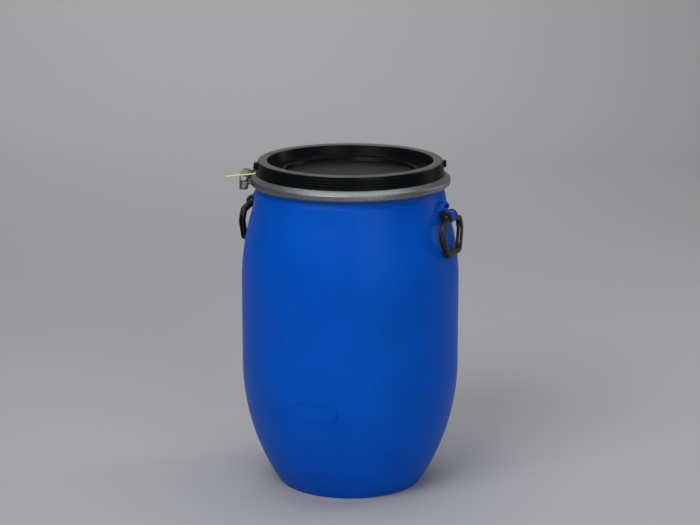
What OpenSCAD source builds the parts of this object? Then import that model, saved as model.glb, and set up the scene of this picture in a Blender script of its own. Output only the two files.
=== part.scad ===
// Open head drum: a moulded body with a loose lid, a split clamp ring with a
// toggle lever, a pull seal and two swinging handles. Millimetres, +Z up,
// origin on the drum axis at the underside of the foot.

/* [Body] */
// Largest radius of the body
belly_r = 200; // [180:1:240]
// Radius of the flank where it meets the foot
base_r = 132.8; // [115:0.1:150]
// Height where the lower flank becomes a straight wall
belly_low = 226; // [190:1:250]
// Height where the straight wall ends
belly_high = 378; // [350:1:400]
// Radius of the body where the shoulder turns into the neck cone
shoulder_r = 180; // [172:0.5:190]
// Depth from the rim's top down to the shoulder
shoulder_drop = 58; // [39:1:99]
// Radius at the top of the neck cone
neck_top_r = 173.4; // [171:0.1:176]
// Depth from the rim's top down to the top of the neck cone
neck_drop = 23; // [20:1:29]
// Wall thickness of the body
body_wall = 4; // [3:0.5:6]
// Corner radius of the foot
foot_corner = 6; // [3:0.5:10]
// Width of the ring that the drum stands on
foot_w = 14; // [8:1:24]
// How far the underside of the base is pushed up
push_up = 6; // [3:0.5:12]

/* [Mouth] */
// Radius of the mouth
mouth_r = 161; // [150:1:163]
// Radius of the neck just under the rim
neck_r = 169.5; // [168:0.5:171]
// Outer radius of the drum's rim and of the lid's flange
rim_r = 179.5; // [177:0.5:185]
// Height of the rim
rim_h = 11; // [9:0.5:13]
// Height of the drum to the top of its rim
drum_h = 569; // [480:1:683]
// Gap between the rim and the seal above it
seat_gap = 0.3; // [0.2:0.1:1]

/* [Lid] */
// Thickness of the lid's sheet
lid_wall = 3; // [2:0.5:4]
// Outer radius of the lid's stacking rim
lid_rim_r = 168; // [160:1:172]
// Inner radius of the lid's stacking rim
lid_rim_in_r = 152; // [140:1:156]
// Height that the lid stands above the drum's rim
lid_rise = 36.3; // [26:0.1:56]
// Radius at the foot of the recess wall
recess_r = 147.5; // [135:0.5:150]
// Height of the lid's ledge above the drum's rim
ledge_rise = 16.5; // [13:0.5:23]
// Radius of the step ring around the centre panel
step_r = 122; // [90:1:132]
// Height of the step ring above the ledge
step_h = 2.2; // [1:0.1:4]
// Width of the step ring
step_w = 5.5; // [3:0.5:10]
// Depth of the centre panel below the ledge
panel_drop = 5; // [1:0.5:8]
// Number of ribs on the lid's outer wall
rib_count = 4; // [2:1:6]
// Spacing of those ribs
rib_pitch = 5.2; // [4:0.1:7]
// Height of a rib over its wall
rib_h = 0.7; // [0.3:0.1:1.5]
// Gap between the lid's locating skirt and the mouth
skirt_gap = 2; // [1:0.5:4]
// Depth that the locating skirt reaches below the rim's top face
skirt_depth = 9; // [4:1:20]
// Thickness of the lid seal
gasket_h = 2.7; // [2:0.1:4]
// Radial width of the lid seal
gasket_w = 9; // [6:1:11]
// How far a lid ear stands proud of the rim
ear_out = 8; // [4:1:10]
// Height of a lid ear
ear_h = 12; // [8:1:16]
// Width of a lid ear
ear_w = 22; // [14:1:40]

/* [Clamp ring] */
// Sheet thickness of the ring
ring_sheet = 1.5; // [1:0.1:2]
// Outer radius of the ring's web
ring_r = 183; // [182.8:0.1:190]
// Clearance between the ring's legs and the two flanges in it
ring_gap = 0.4; // [0.2:0.1:1]
// Radius that the ring's legs reach inwards to
leg_in_r = 171.6; // [171:0.1:176]
// Depth of the ring's web below the drum's rim
web_below = 4.5; // [3:0.1:6]
// Height of the ring's web above the drum's rim
web_above = 4; // [2:0.1:7]
// Drop of the lower leg
leg_drop = 7.5; // [6:0.1:9]
// Rise of the upper leg
leg_rise = 8; // [6:0.1:9]

/* [Latch] */
// Direction of the lever's pivot around the drum
pivot_at = 169; // [100:1:200]
// Radial distance of the lever's pivot outside the ring
pivot_out = 11.5; // [10:0.5:14]
// Radial distance of the link's line outside the ring
link_out = 5; // [4.6:0.1:6]
// Distance from the lever's pivot to the link's eye along the ring
eye_ahead = 13.4; // [12:0.1:16]
// Distance from the lever's pivot back to the hook pin along the ring
hook_back = 30; // [26:0.5:36]
// Angle that the lever covers in front of its pivot
lever_sweep = 21; // [15:0.5:30]
// Sheet thickness of the lever
lever_sheet = 1.4; // [1:0.1:2]
// Outer radius of the lever beyond its pivot
lever_over = 6.9; // [6.5:0.1:8]
// Height of the lever
lever_h = 25; // [23:0.5:28]
// Diameter of the latch pins
pin_d = 5; // [4:0.5:5]
// Running clearance around a latch pin
pin_gap = 0.3; // [0.2:0.1:0.5]
// Thickness of a bracket's plates
bracket_t = 2; // [1.5:0.1:2.5]
// Height of the link
link_h = 10; // [6:0.5:11]
// Width of the link
link_w = 6; // [5:0.1:6]
// Open gap between the ring's two ends, in degrees
ring_split = 3; // [2:0.5:5]
// Diameter of a rivet head
rivet_d = 4.5; // [3:0.5:6]
// Distance of the seal in front of the lever's pivot, in degrees
seal_ahead = 18.5; // [12:0.5:19]
// Width of the seal's strap
strap_w = 7; // [4:0.5:8]
// Thickness of the seal's strap
strap_t = 1.4; // [1:0.1:2]
// Length of the strap's free tail outside the lever
strap_tail = 26; // [10:1:60]

/* [Handles] */
// Direction of the first handle around the drum
handle_at = -22.5; // [-60:0.5:60]
// Depth of a handle's pivot below the drum's rim
handle_drop = 54; // [44:1:69]
// Radius of the handles' pivot line
handle_r = 192; // [190:0.5:196]
// Diameter of the pivot bosses
boss_d = 22; // [16:1:26]
// Width of the moulded ear between the bosses
lug_w = 16; // [10:1:24]
// Width of each boss
boss_w = 8; // [6:0.5:12]
// Thickness of the handle's bar
bar_d = 11; // [7:0.5:12]
// Half of the loop's width at its upper corners
corner_half = 41; // [34:1:56]
// Drop from the pivot to the loop's upper corners
corner_drop = 11; // [8:1:16]
// Half of the loop's greatest width
loop_half = 47; // [38:1:60]
// Drop from the pivot to the loop's widest point
wide_drop = 30; // [24:1:40]
// Half of the grip's straight length
grip_half = 30; // [20:1:36]
// Drop from the pivot to the grip's centre
grip_drop = 66; // [56:0.5:80]
// Gap between the grip and the body's wall
grip_gap = 0.1; // [0.1:0.1:6]
// Least clearance between a handle's arms and the wall
arm_clear = 3; // [2:0.5:8]
// How far the loop's widest point stands out from the pivot line
wide_out = 5; // [4:0.5:16]
// Diameter of the handle pin
handle_pin_d = 8; // [5:0.5:10]
// Gap between the ear and a boss
boss_gap = 0.5; // [0.3:0.1:1]
// Inner radius of the moulded hood over a handle's bosses
hood_in = 21; // [20:0.5:26]
// Thickness of the hood
hood_t = 5; // [4:0.5:9]
// Radius that the hood stands out to from the drum's axis
hood_r = 186; // [184:0.5:188]
// Angle that the hood covers on each side of its top
hood_cover = 60; // [50:5:105]

/* [Marking plate] */
// Direction of the blank marking plate
plate_at = 251; // [200:1:300]
// Height of the marking plate's centre
plate_z = 180; // [160:1:300]
// Length of the marking plate's outline
plate_l = 86; // [50:1:110]
// Height of the marking plate's outline
plate_h = 36; // [20:1:40]
// How far the outline stands out of the wall
plate_out = 1.3; // [0.5:0.1:2]
// Width of the outline
plate_line = 2.4; // [1.5:0.1:4]

/* [Hidden] */
rim_top = drum_h;
rim_low = rim_top - rim_h;
neck_z = rim_top - neck_drop;
shoulder_z = rim_top - shoulder_drop;
lid_top = rim_top + lid_rise;
ledge_z = rim_top + ledge_rise;
web_low = rim_top - web_below;
web_high = rim_top + web_above;
handle_z = rim_top - handle_drop;
$fn = 96;
e = 0.5;                       // how far a cutter runs past what it cuts

// Points of an arc from angle a0 to a1 about (cx, cz), ends included.
function arc(cx, cz, r, a0, a1, n) =
    [for (i = [0:n]) let (a = a0 + (a1 - a0) * i / n) [cx + r * cos(a), cz + r * sin(a)]];
// Radius of the arc that leaves a vertical wall and falls back by dr over dz.
function fall_r(dr, dz) = (dr * dr + dz * dz) / (2 * dr);
// A section's points moved in by t.
function inset(pts, t) = [for (p = pts) [p[0] - t, p[1]]];
function flip(v) = [for (i = [len(v) - 1:-1:0]) v[i]];

// Body section: the flank is an arc, the belly is straight, the shoulder an arc.
low_r = fall_r(belly_r - base_r, belly_low);
low_a = asin(belly_low / low_r);
top_r = fall_r(belly_r - shoulder_r, shoulder_z - belly_high);
top_a = asin((shoulder_z - belly_high) / top_r);
foot_a = asin((belly_low - foot_corner) / (low_r - foot_corner));
foot_r = belly_r - low_r + (low_r - foot_corner) * cos(foot_a);
flank = arc(belly_r - low_r, belly_low, low_r, -foot_a, 0, 20);
shoulder = arc(belly_r - top_r, belly_high, top_r, 0, top_a, 14);
foot = arc(foot_r, foot_corner, foot_corner, -90, -foot_a, 6);
neck_h = 8;                    // height of the turn from the neck cone to the mouth
neck = [[neck_top_r, neck_z], [neck_r, neck_z + neck_h - 1]];
lip = 1.2;                     // small bevel on the rim's edges
rim_slope = leg_drop / (ring_r - leg_in_r);
rim_under = rim_low + (rim_r - neck_r) * rim_slope;
floor_z = push_up + body_wall;
foot_in = foot_r - foot_w;

function body_wall_r(z) = z < belly_low ? belly_r - low_r + sqrt(low_r * low_r - pow(belly_low - z, 2))
    : z < belly_high ? belly_r
    : belly_r - top_r + sqrt(top_r * top_r - pow(z - belly_high, 2));
// Distance out at which a bar of a handle stands gap clear of the wall, y beside the radial line.
function bar_r(z, y, gap) =
    let (rise = max(z - belly_high, 0), reach = top_r + bar_d / 2 + gap)
    sqrt(pow(belly_r - top_r + sqrt(reach * reach - rise * rise), 2) - y * y);

// Lid: the flange under the ring, then wall, rim, recess, ledge, step, panel.
gasket_low = rim_top + seat_gap;
flange_low = gasket_low + gasket_h;
leg_slope = leg_rise / (ring_r - leg_in_r);
flange_edge = web_high - (ring_sheet + ring_gap) / cos(atan(leg_slope)) + leg_slope * (ring_r - rim_r);
flange_w = 8.2;                // width of the lid's flange outside its wall
lid_foot_r = rim_r - flange_w;
rim_edge = 1.5;                // bevel on the stacking rim
flange_top = flange_edge + leg_slope * (rim_r - lid_foot_r);
skirt_r = mouth_r - skirt_gap;
panel_z = ledge_z - panel_drop;

// Latch, in a frame turned to the pivot: x out, y along the ring to the front.
pivot_r = ring_r + pivot_out;
link_r = ring_r + link_out;
latch_z = (web_low + web_high) / 2 - 0.75;
lever_low = latch_z - lever_h / 2;
lever_top = latch_z + lever_h / 2;
lever_r = pivot_r + lever_over;
lever_in = ring_r + 3;
arm_gap = 0.4;                 // between a lever flange and the bracket arm inside it
arm_low = lever_low + lever_sheet + arm_gap;
arm_top = lever_top - lever_sheet - arm_gap;
boss_r = 5;
web_ahead = 5.6;               // from the pivot to where the lever's web starts
slot_end = 30;                 // from the pivot to the end of the link's slot in the web
slot_gap = 1;                  // room above and below the link in that slot
head_t = 1;                    // thickness of a pin's head
head_over = 1.1;               // how far a pin's head stands past its shank
head_off = 0.2;                // gap between a pin's head and the sheet under it
foot_t = bracket_t - 0.5;      // thickness of a bracket's foot
foot_sink = 0.8;               // where a bracket's arms start inside its foot
rivet_off = 2.55;              // degrees from a bracket's middle to its rivets
rivet_h = 0.4;                 // height of a rivet's head
flex_gap = 0.4;                // degrees between the two halves where they flex
split_at = pivot_at - 4.5;     // middle of the ring's open gap
flex_at = split_at + 180;      // where the two halves of the ring flex
bracket_half = 3.2;            // half of a bracket's foot, in degrees
hook_at = pivot_at - hook_back * 180 / (PI * link_r);
hook_run = eye_ahead + hook_back;
hook_gap = 4.6;                // from the hook pin to the inside of the hook's lip
lip_t = 2;                     // thickness of that lip
finger_in = 3.2;               // from the link's line to the inside of its finger
finger_t = 3.5;                // thickness of the finger over the hook pin
neck_back = 6;                 // from the hook pin to the link's full section
rivet_z = (web_low + web_high) / 2;

// Handles
pin_z = handle_z;
grip_z = pin_z - grip_drop;
wide_z = pin_z - wide_drop;
grip_r = bar_r(grip_z, 0, grip_gap);
wide_r = max(handle_r + wide_out, bar_r(wide_z, loop_half, arm_clear));
corner_z = pin_z - corner_drop;
corner_r = max(handle_r + 0.8 * wide_out, bar_r(corner_z, corner_half, arm_clear));
hub_half = lug_w / 2 + boss_gap + boss_w;
hub_y = hub_half - boss_w / 2;
lug_d = boss_d - 2;            // diameter of the ear on the pivot line
lug_rise = 3;                  // from the ear's lowest point up to its web
hood_deep = 24;                // how far a mounting reaches back into the wall
root_out = [2, 1.4, -3];       // where an arm starts, from the middle of its boss

module turned(a) { rotate([0, 0, a]) children(); }
module at_latch() { turned(pivot_at) children(); }

// One moulded mounting for a handle: a hood over the bosses and an ear on the pivot line.
module lug() {
    translate([0, 0, pin_z]) {
        rotate([0, 90, 0]) rotate_extrude(start = 180 - hood_cover, angle = 2 * hood_cover)
            translate([hood_in, hood_r - hood_deep]) square([hood_t, hood_deep]);
        difference() {
            union() {
                rotate([90, 0, 0]) translate([handle_r, 0, 0])
                    cylinder(h = lug_w, d = lug_d, center = true);
                translate([handle_r - hood_deep, -lug_w / 2, lug_rise - lug_d / 2])
                    cube([hood_deep, lug_w, lug_d - lug_rise]);
            }
            translate([handle_r, 0, 0]) rotate([90, 0, 0])
                cylinder(h = lug_w + 2 * e, d = handle_pin_d, center = true);
        }
    }
}

// The inside of the body, which also trims what is added to the outside.
module body_hollow() {
    rotate_extrude(convexity = 4)
        polygon(concat([[0, floor_z], [foot_in - 2, floor_z], [foot_in + 8, body_wall]],
            inset([for (p = flank) if (p[1] > floor_z) p], body_wall),
            inset(shoulder, body_wall),
            [[neck_top_r - body_wall, neck_z], [mouth_r, neck_z + neck_h],
             [mouth_r, rim_top + e], [0, rim_top + e]]));
}

// The blank plate's raised outline, a stadium wrapped onto the wall.
module marking_plate() {
    heights = [for (i = [-6:6]) plate_z + i * plate_h / 8];
    turned(plate_at) intersection() {
        translate([0, 0, plate_z]) rotate([90, 0, 90]) linear_extrude(belly_r + 10)
            difference() {
                stadium(plate_l, plate_h);
                stadium(plate_l - 2 * plate_line, plate_h - 2 * plate_line);
            }
        rotate_extrude(start = -24, angle = 48) polygon(concat(
            [for (z = heights) [body_wall_r(z) - body_wall / 2, z]],
            flip([for (z = heights) [body_wall_r(z) + plate_out, z]])));
    }
}

module stadium(l, h) {
    square([l - h, h], center = true);
    for (s = [-1, 1]) translate([s * (l - h) / 2, 0]) circle(d = h);
}

module drum_body() color("#1447a0") {
    difference() {
        union() {
            rotate_extrude(convexity = 4)
                polygon(concat([[0, push_up], [foot_in, push_up], [foot_in + 6, 0]],
                    foot, [for (i = [1:len(flank) - 1]) flank[i]], shoulder,
                    neck, [[neck_r, rim_low], [rim_r, rim_under], [rim_r, rim_top - lip],
                           [rim_r - lip, rim_top], [0, rim_top]]));
            for (a = [0, 180]) turned(handle_at + a) lug();
            marking_plate();
        }
        body_hollow();
    }
}

// The lid's outer wall: the radius grows evenly downwards, with ribs on it.
function wall_at(z) = lid_rim_r + (lid_foot_r - lid_rim_r) * (lid_top - z) / (lid_top - flange_top);
function rib(i) = let (z = lid_top - 5 - (i + 0.5) * rib_pitch, h = rib_pitch * 0.3)
    [[wall_at(z + h), z + h], [wall_at(z + h) + rib_h, z + h * 0.5],
     [wall_at(z - h) + rib_h, z - h * 0.5], [wall_at(z - h), z - h]];

module lid_ear() {
    translate([0, 0, lid_top - 4 - ear_h]) intersection() {
        translate([lid_rim_r + ear_out - ear_w / 2, 0, 0]) cylinder(h = ear_h, d = ear_w);
        translate([lid_rim_r - 2, -ear_w / 2, 0]) cube([ear_out + 4, ear_w, ear_h]);
    }
}

module lid() color("#16191b") {
    rotate_extrude(convexity = 6) polygon(concat(
        // outer face, downwards
        [[lid_rim_in_r + rim_edge, lid_top], [lid_rim_r - rim_edge, lid_top],
         [lid_rim_r, lid_top - rim_edge]],
        [for (i = [0:rib_count - 1]) for (p = rib(i)) p],
        [[lid_foot_r, flange_top], [rim_r, flange_edge], [rim_r, flange_low]],
        // inner faces, back to the centre
        [[lid_rim_r - lid_wall, flange_low], [lid_rim_r - lid_wall, lid_top - lid_wall],
         [skirt_r, lid_top - lid_wall], [skirt_r, rim_top - skirt_depth],
         [skirt_r - lid_wall + 0.5, rim_top - skirt_depth], [skirt_r - lid_wall + 0.5, lid_top - lid_wall],
         [lid_rim_in_r + lid_wall - 0.3, lid_top - lid_wall],
         [recess_r + lid_wall, ledge_z - lid_wall]],
        [[step_r - step_w / 2, ledge_z - lid_wall], [step_r - step_w / 2 - 3, panel_z - lid_wall],
         [0, panel_z - lid_wall], [0, panel_z], [step_r - step_w / 2 - 3, panel_z]],
        // step ring and ledge, outwards
        [[step_r - step_w / 2, ledge_z + step_h * 0.6], [step_r - step_w / 4, ledge_z + step_h],
         [step_r + step_w / 4, ledge_z + step_h], [step_r + step_w / 2, ledge_z],
         [recess_r, ledge_z], [lid_rim_in_r, lid_top - rim_edge]]));
    for (a = [0, 180]) turned(a + 4) lid_ear();
}

module lid_gasket() color("#55585a")
    rotate_extrude() translate([rim_r - 2 - gasket_w, gasket_low]) square([gasket_w, gasket_h]);

// The ring's section: a flat web with two legs that slope inwards.
module ring_section() {
    t = ring_sheet;
    lo = t / cos(atan(rim_slope));
    up = t / cos(atan(leg_slope));
    x_in = ring_r - t;
    polygon([[ring_r, web_low], [ring_r, web_high], [leg_in_r, web_high + leg_rise],
        [leg_in_r, web_high + leg_rise - up], [x_in, web_high - up + leg_slope * t],
        [x_in, web_low + lo - rim_slope * t], [leg_in_r, web_low - leg_drop + lo],
        [leg_in_r, web_low - leg_drop]]);
}
module clamp_band_front() color("#9a9da0")
    rotate_extrude(start = split_at + ring_split / 2, angle = 180 - ring_split / 2 - flex_gap / 2)
        ring_section();
module clamp_band_rear() color("#94979a")
    rotate_extrude(start = flex_at + flex_gap / 2, angle = 180 - ring_split / 2 - flex_gap / 2)
        ring_section();

// A bracket: a foot on the ring's web and two arms out to a pin.
module bracket(r_pin, arm_lo, arm_hi) {
    difference() {
        union() {
            rotate_extrude(start = -bracket_half, angle = 2 * bracket_half)
                translate([ring_r, arm_lo]) square([foot_t, arm_hi - arm_lo]);
            for (z = [arm_lo, arm_hi - bracket_t]) {
                translate([ring_r + foot_sink, -boss_r, z])
                    cube([r_pin - ring_r - foot_sink, 2 * boss_r, bracket_t]);
                translate([r_pin, 0, z]) cylinder(h = bracket_t, r = boss_r);
            }
        }
        translate([r_pin, 0, arm_lo - e]) cylinder(h = arm_hi - arm_lo + 2 * e, d = pin_d);
    }
}

module lever_bracket() color("#a8aaa2") at_latch() bracket(pivot_r, arm_low, arm_top);
module hook_bracket() color("#a8aaa2") turned(hook_at) bracket(link_r, arm_low, arm_top);

// A channel that is open inwards: two flanges and a web with a slot, which the
// link passes as the lever swings out, and a window for the seal.
module closing_lever() color("#a9aca0") at_latch() {
    web_from = web_ahead * 180 / (PI * lever_r);
    slot_h = link_h + 2 * slot_gap;
    window = [8, 11, 12];
    difference() {
        union() {
            rotate_extrude(start = web_from, angle = lever_sweep - web_from)
                translate([lever_r - lever_sheet, lever_low]) square([lever_sheet, lever_h]);
            for (z = [lever_low, lever_top - lever_sheet]) {
                rotate_extrude(start = 0, angle = lever_sweep)
                    translate([lever_in, z]) square([lever_r - lever_in, lever_sheet]);
                translate([pivot_r, 0, z]) cylinder(h = lever_sheet, r = lever_over - 0.3);
            }
        }
        for (p = [[pivot_r, 0], [link_r, eye_ahead]])
            translate([p[0], p[1], lever_low - e]) cylinder(h = lever_h + 2 * e, d = pin_d + 2 * pin_gap);
        translate([lever_r - window[0] / 2, 0, latch_z - slot_h / 2]) cube([window[0], slot_end, slot_h]);
        turned(seal_ahead) translate([lever_r, 0, latch_z]) cube(window, center = true);
    }
}

// The link lies between the arms; its far end is a hook that is open inwards.
module toggle_link() color("#b0b2a8") at_latch() {
    z0 = latch_z - link_h / 2;
    tip = -hook_back - hook_gap - lip_t;
    difference() {
        union() {
            translate([link_r - link_w / 2, -hook_back + neck_back, z0])
                cube([link_w, hook_run - neck_back, link_h]);
            translate([link_r, eye_ahead, z0]) cylinder(h = link_h, r = pin_d / 2 + 1.7);
            translate([link_r + finger_in, tip, z0])
                cube([finger_t, lip_t + hook_gap + neck_back + 4, link_h]);
            translate([link_r + finger_in - 1.4, tip, z0]) cube([finger_t, lip_t, link_h]);
            translate([link_r + link_w / 2 - 1, -hook_back + neck_back, z0])
                cube([finger_in + finger_t + 1 - link_w / 2, neck_back, link_h]);
        }
        translate([link_r, eye_ahead, z0 - e]) cylinder(h = link_h + 2 * e, d = pin_d + 2 * pin_gap);
    }
}

// A pin with a shallow head at both ends.
module headed_pin(z_lo, z_hi) {
    translate([0, 0, z_lo]) cylinder(h = z_hi - z_lo, d = pin_d);
    for (z = [z_lo, z_hi - head_t]) translate([0, 0, z]) cylinder(h = head_t, d = pin_d + 2 * head_over);
}
pin_past = head_t + head_off;  // how far a pin runs past the sheets it holds
// Two short pivots, one in each arm, that leave the way between them to the link.
module lever_pin() color("#c8c9c2") at_latch() translate([pivot_r, 0, 0]) {
    headed_pin(lever_low - pin_past, arm_low + bracket_t + head_t);
    headed_pin(arm_top - bracket_t - head_t, lever_top + pin_past);
}
module link_pin() color("#c8c9c2") at_latch() translate([link_r, eye_ahead, 0])
    headed_pin(lever_low - pin_past, lever_top + pin_past);
module hook_pin() color("#c8c9c2") turned(hook_at) translate([link_r, 0, 0])
    headed_pin(arm_low - pin_past, arm_top + pin_past);

// Flat rivets that hold a bracket's foot to the web, on both sides of the arms.
module rivets(at) {
    for (s = [-1, 1]) turned(at + s * rivet_off) translate([0, 0, rivet_z]) rotate([0, 90, 0])
        translate([0, 0, ring_r + foot_t]) cylinder(h = rivet_h, d = rivet_d * 0.8);
}
module front_rivets() color("#c8c9c2") rivets(pivot_at);
module rear_rivets() color("#c8c9c2") rivets(hook_at);

// A flat plate on the front half of the ring, with the eye that the seal passes.
module sealing_hasp() color("#a8aaa2") turned(pivot_at + seal_ahead) difference() {
    tongue = [14, 9, 1.8];
    eye_in = 7;                // from the lever's outside in to the eye
    union() {
        rotate_extrude(start = -1.5, angle = 3) translate([ring_r, web_low + 0.5])
            square([1.4, web_high - web_low - 1]);
        translate([ring_r + foot_sink, -tongue[1] / 2, latch_z - tongue[2] / 2]) cube(tongue);
    }
    translate([lever_r - eye_in, 0, latch_z - tongue[2]]) cylinder(h = 2 * tongue[2], d = 3.4);
}

// The seal: a flat strap that runs radially over the lever, tail hanging out.
module pull_seal() color("#e6e27c") turned(pivot_at + seal_ahead) {
    over = lever_top + strap_t;    // top of the strap where it lies on the lever
    bend_r = 60;
    outer = concat([[leg_in_r + 1, over + 2.4], [ring_r - 2, over + 1.4]],
        [[ring_r + 5, over + 0.2], [lever_r, over]],
        arc(lever_r, over - bend_r, bend_r, 86, 72, 4),
        [[lever_r + strap_tail, over - 4.4]]);
    translate([0, strap_w / 2, 0]) rotate([90, 0, 0]) linear_extrude(strap_w)
        polygon(concat(outer, flip([for (p = outer) [p[0], p[1] - strap_t]])));
}

// A straight bar with round ends.
module bar(p, q) hull() for (at = [p, q]) translate(at) sphere(d = bar_d, $fn = 20);

// A handle: two bosses, two arms that spread, and a straight grip below.
module handle() color("#141617") {
    difference() {
        union() {
            for (s = [-1, 1]) {
                translate([handle_r, s * hub_y, pin_z]) rotate([90, 0, 0])
                    cylinder(h = boss_w, d = boss_d, center = true);
                bar([handle_r + root_out[0], s * (hub_y + root_out[1]), pin_z + root_out[2]],
                    [corner_r, s * corner_half, corner_z]);
                bar([corner_r, s * corner_half, corner_z], [wide_r, s * loop_half, wide_z]);
                bar([wide_r, s * loop_half, wide_z], [grip_r, s * grip_half, grip_z]);
            }
            bar([grip_r, -grip_half, grip_z], [grip_r, grip_half, grip_z]);
        }
        translate([handle_r, 0, pin_z]) rotate([90, 0, 0])
            cylinder(h = 2 * hub_half + 2, d = handle_pin_d + 2 * pin_gap, center = true);
        translate([handle_r, 0, pin_z]) cube([boss_d + 8, lug_w + 2 * boss_gap, boss_d + 10], center = true);
    }
}
module handle_right() turned(handle_at) handle();
module handle_left() turned(handle_at + 180) handle();
module handle_pin() color("#b9bbbd") translate([handle_r, 0, pin_z]) rotate([90, 0, 0])
    cylinder(h = 2 * hub_half, d = handle_pin_d, center = true);
module handle_pin_right() turned(handle_at) handle_pin();
module handle_pin_left() turned(handle_at + 180) handle_pin();

drum_body();
lid();
lid_gasket();
clamp_band_front();
clamp_band_rear();
lever_bracket();
hook_bracket();
closing_lever();
toggle_link();
lever_pin();
link_pin();
hook_pin();
front_rivets();
rear_rivets();
sealing_hasp();
pull_seal();
handle_right();
handle_left();
handle_pin_right();
handle_pin_left();
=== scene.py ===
"""Open head drum: the moulded body, lid, clamp ring, latch, seal and handles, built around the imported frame.

Every shape is a surface worked out with numpy, in metres, from the sizes in the property groups below.
"""
import math

import bmesh
import bpy
import numpy as np
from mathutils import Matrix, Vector


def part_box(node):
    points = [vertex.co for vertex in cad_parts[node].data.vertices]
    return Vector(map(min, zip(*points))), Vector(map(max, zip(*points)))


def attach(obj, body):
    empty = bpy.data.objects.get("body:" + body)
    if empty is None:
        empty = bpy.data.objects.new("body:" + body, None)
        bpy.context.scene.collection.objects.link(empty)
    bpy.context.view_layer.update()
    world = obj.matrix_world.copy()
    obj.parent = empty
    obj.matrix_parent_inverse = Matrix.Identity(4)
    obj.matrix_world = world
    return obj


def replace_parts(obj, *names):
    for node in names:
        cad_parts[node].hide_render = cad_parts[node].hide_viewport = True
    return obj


bl_info = {
    "name": "Open Head Drum",
    "version": (1, 0, 0),
    "blender": (4, 5, 0),
    "location": "View3D > Sidebar > Drum",
    "description": "Builds an open head drum with its lid, clamp ring, toggle latch, seal and handles",
    "category": "Add Mesh",
}

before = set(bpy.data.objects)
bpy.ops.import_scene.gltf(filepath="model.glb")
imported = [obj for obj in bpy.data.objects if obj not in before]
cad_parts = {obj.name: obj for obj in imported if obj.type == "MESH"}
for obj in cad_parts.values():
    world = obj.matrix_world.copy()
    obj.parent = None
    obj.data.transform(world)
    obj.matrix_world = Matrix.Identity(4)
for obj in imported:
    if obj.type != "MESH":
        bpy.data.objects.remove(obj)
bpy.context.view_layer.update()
DRUM_HI = np.array(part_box("drum_body")[1])
LID_LO, LID_HI = (np.array(corner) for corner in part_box("lid"))
LEVER_LO, LEVER_HI = (np.array(corner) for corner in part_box("closing_lever"))
RING_LO, RING_HI = (np.array(corner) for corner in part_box("clamp_band_front"))
BELLY_R = float(DRUM_HI[1])
RIM_TOP = float(DRUM_HI[2])
LID_TOP = float(LID_HI[2])
TURN = 2 * math.pi


# ---------------------------------------------------------------- sizes and finishes

def length(name, text, default):
    """A property that holds a length in metres."""
    return bpy.props.FloatProperty(name=name, description=text, default=default, unit="LENGTH", precision=4)


def angle(name, text, degrees):
    """A property that holds an angle, given here in degrees."""
    return bpy.props.FloatProperty(name=name, description=text, default=math.radians(degrees), unit="ROTATION")


def colour(name, text, default):
    """A property that holds a linear colour."""
    return bpy.props.FloatVectorProperty(name=name, description=text, default=default, subtype="COLOR",
                                         size=3, min=0.0, max=1.0)


def share(name, text, default):
    """A property that holds a plain number from 0 to 1."""
    return bpy.props.FloatProperty(name=name, description=text, default=default, min=0.0, max=1.0)


class BodySizes(bpy.types.PropertyGroup):
    """Sizes of the moulded body."""
    belly: length("Belly radius", "Largest radius of the body", BELLY_R)
    base: length("Base radius", "Radius of the flank carried down to the floor", 0.1328)
    straight_low: length("Straight from", "Height where the flank becomes straight", 0.226)
    straight_high: length("Straight to", "Height where the shoulder starts", 0.378)
    shoulder: length("Shoulder radius", "Radius where the shoulder turns into the neck cone", 0.180)
    shoulder_z: length("Shoulder height", "Height of that turn", 0.511)
    neck_top: length("Neck cone radius", "Radius at the top of the neck cone", 0.1734)
    neck_z: length("Neck cone height", "Height of the top of the neck cone", 0.546)
    neck: length("Neck radius", "Radius of the neck under the rim", 0.1695)
    rim: length("Rim radius", "Outer radius of the rim", 0.1795)
    rim_low: length("Rim underside", "Height of the rim's underside at the neck", 0.558)
    mouth: length("Mouth radius", "Radius of the mouth", 0.161)
    wall: length("Wall", "Wall thickness of the body", 0.004)
    foot_corner: length("Foot corner", "Corner radius of the foot", 0.006)
    foot_width: length("Foot width", "Width of the ring that the drum stands on", 0.014)
    push_up: length("Push-up", "How far the base is pushed up", 0.006)
    hood_inner: length("Hood inner radius", "Inner radius of the moulded hood over a handle's bosses", 0.021)
    hood_thick: length("Hood thickness", "Thickness of the hood", 0.005)
    hood_reach: length("Hood reach", "Distance of the hood's face from the drum's axis", 0.186)
    hood_cover: angle("Hood cover", "Angle that the hood covers on each side of its top", 60)
    ear_width: length("Ear width", "Width of the moulded ear that holds a handle", 0.016)
    plate_at: angle("Plate direction", "Direction of the blank plate around the drum", 251)
    plate_z: length("Plate height", "Height of the blank plate's centre", 0.180)
    plate_length: length("Plate length", "Length of the plate's outline", 0.086)
    plate_width: length("Plate width", "Height of the plate's outline", 0.036)
    plate_line: length("Plate line", "Width of the plate's raised outline", 0.0024)
    plate_out: length("Plate relief", "How far the outline stands out", 0.0013)


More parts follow.
